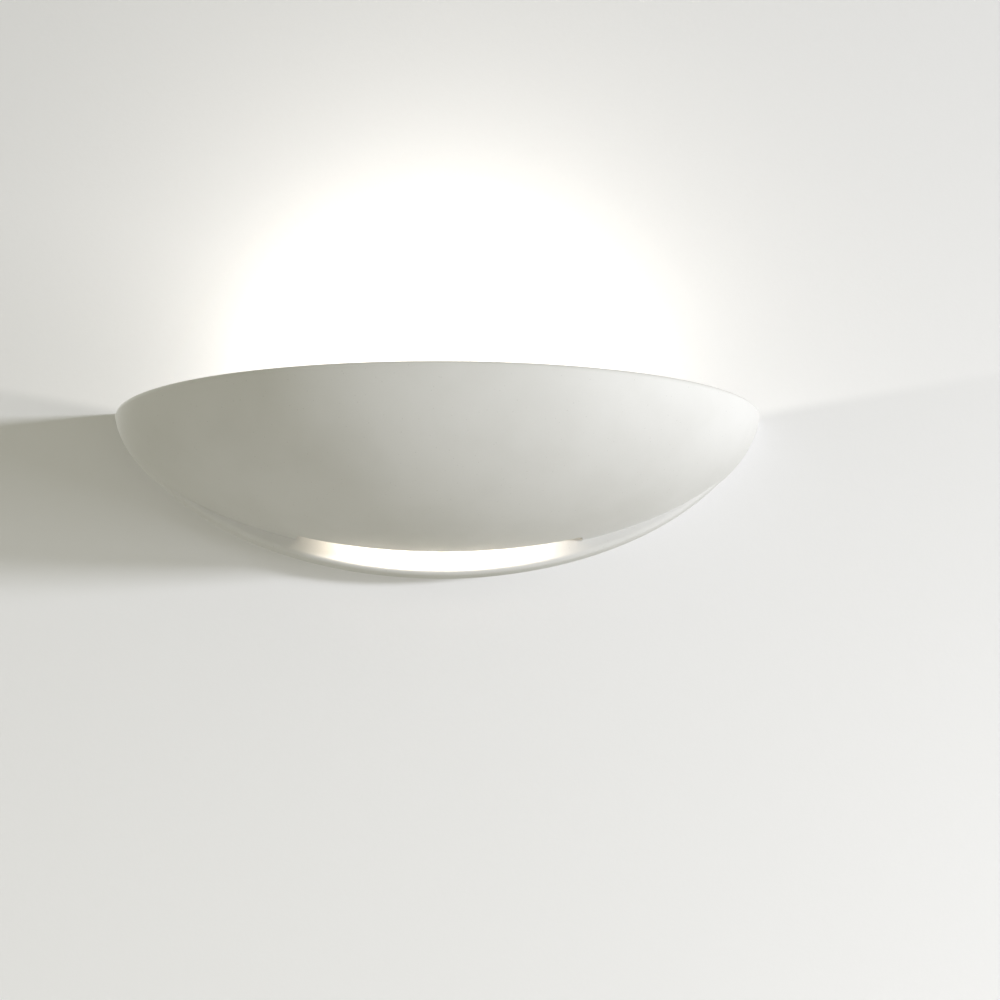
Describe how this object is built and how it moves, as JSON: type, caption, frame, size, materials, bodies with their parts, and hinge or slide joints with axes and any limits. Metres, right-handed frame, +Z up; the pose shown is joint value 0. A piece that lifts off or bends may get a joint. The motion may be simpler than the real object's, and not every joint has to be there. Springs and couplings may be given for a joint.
{
  "type": "uplighter wall sconce",
  "caption": "Half-bowl ceramic uplighter for a wall, open at the top, with a light slot above its lower lip and a linear halogen lamp on a steel plate inside.",
  "frame": {"origin": "centre of the two wall fixing slots, on the wall plate's back face, which is the plane of the wall", "axes": "+X along the wall to the right as seen from the room, +Y into the wall, +Z up"},
  "size_m": [0.3392, 0.1197, 0.088],
  "materials": {
    "shade_ceramic": "matt unglazed off-white ceramic",
    "white_steel": "white stove enamel on folded steel",
    "zinc_steel": "bright zinc plate",
    "brass": "plain brass",
    "nickel_brass": "nickel-plated brass",
    "steatite": "semi-matt steatite",
    "quartz": "clear quartz",
    "tungsten": "drawn tungsten",
    "mica": "pressed mica",
    "silicone": "white silicone rubber",
    "nylon": "natural nylon",
    "brown_sleeve": "silicone-sleeved lead",
    "blue_sleeve": "silicone-sleeved lead",
    "green_sleeve": "silicone-sleeved lead"
  },
  "bodies": {
    "wall_plate": {"wall_plate": "white_steel", "lamp_bracket": "white_steel", "hook_pads": "silicone", "clamp_bushes": "brass", "cable_grommet": "silicone", "pillars": "zinc_steel", "bracket_screws": "zinc_steel", "holder_screws": "zinc_steel", "lampholder_left": "steatite", "lampholder_right": "steatite", "insulating_sheet_left": "mica", "insulating_sheet_right": "mica", "contact_spring_left": "zinc_steel", "contact_spring_right": "zinc_steel", "terminal_tag_left": "brass", "terminal_tag_right": "brass", "terminal_block": "steatite", "terminal_inserts": "brass", "terminal_screws": "zinc_steel", "block_screw": "zinc_steel", "earth_ring": "nickel_brass", "earth_washer": "zinc_steel", "earth_screw": "zinc_steel", "live_lead": "brown_sleeve", "neutral_lead": "blue_sleeve", "earth_lead": "green_sleeve"},
    "shade": {"shade": "shade_ceramic"},
    "lamp": {"lamp_tube": "quartz", "lamp_caps": "steatite", "lamp_contacts": "nickel_brass", "lamp_filament": "tungsten", "filament_supports": "tungsten"},
    "contact_left": {"contact_left": "nickel_brass"},
    "contact_right": {"contact_right": "nickel_brass"},
    "clamp_tip_left": {"clamp_tip_left": "nylon"},
    "clamp_screw_left": {"clamp_screw_left": "zinc_steel"},
    "clamp_tip_right": {"clamp_tip_right": "nylon"},
    "clamp_screw_right": {"clamp_screw_right": "zinc_steel"}
  },
  "joints": [
    {"name": "shade_lift", "type": "slide", "parent": "wall_plate", "child": "shade", "axis": [0, 0, 1], "range_m": [0, 0.0085]},
    {"name": "lamp_shift", "type": "slide", "parent": "wall_plate", "child": "lamp", "axis": [1, 0, 0], "range_m": [-0.002, 0.002], "stiffness_N_per_m": 400, "deforming": ["contact_spring_left", "contact_spring_right"]},
    {"name": "contact_left_slide", "type": "slide", "parent": "wall_plate", "child": "contact_left", "axis": [1, 0, 0], "range_m": [-0.0021, 0.0021]},
    {"name": "contact_right_slide", "type": "slide", "parent": "wall_plate", "child": "contact_right", "axis": [1, 0, 0], "range_m": [-0.0021, 0.0021]},
    {"name": "clamp_travel_left", "type": "slide", "parent": "wall_plate", "child": "clamp_tip_left", "axis": [0, -1, 0], "range_m": [0, 0.0014]},
    {"name": "clamp_turn_left", "type": "hinge", "parent": "clamp_tip_left", "child": "clamp_screw_left", "pos_m": [-0.06, -0.02, 0.0216], "axis": [0, -1, 0], "range_deg": [0, 721]},
    {"name": "clamp_travel_right", "type": "slide", "parent": "wall_plate", "child": "clamp_tip_right", "axis": [0, -1, 0], "range_m": [0, 0.0014]},
    {"name": "clamp_turn_right", "type": "hinge", "parent": "clamp_tip_right", "child": "clamp_screw_right", "pos_m": [0.06, -0.02, 0.0216], "axis": [0, -1, 0], "range_deg": [0, 721]}
  ],
  "couplings": [
    {"joint": "contact_left_slide", "follows": "lamp_shift", "ratio": 1},
    {"joint": "contact_right_slide", "follows": "lamp_shift", "ratio": 1},
    {"joint": "clamp_turn_left", "follows": "clamp_travel_left", "rad_per_m": 8976},
    {"joint": "clamp_turn_right", "follows": "clamp_travel_right", "rad_per_m": 8976}
  ]
}
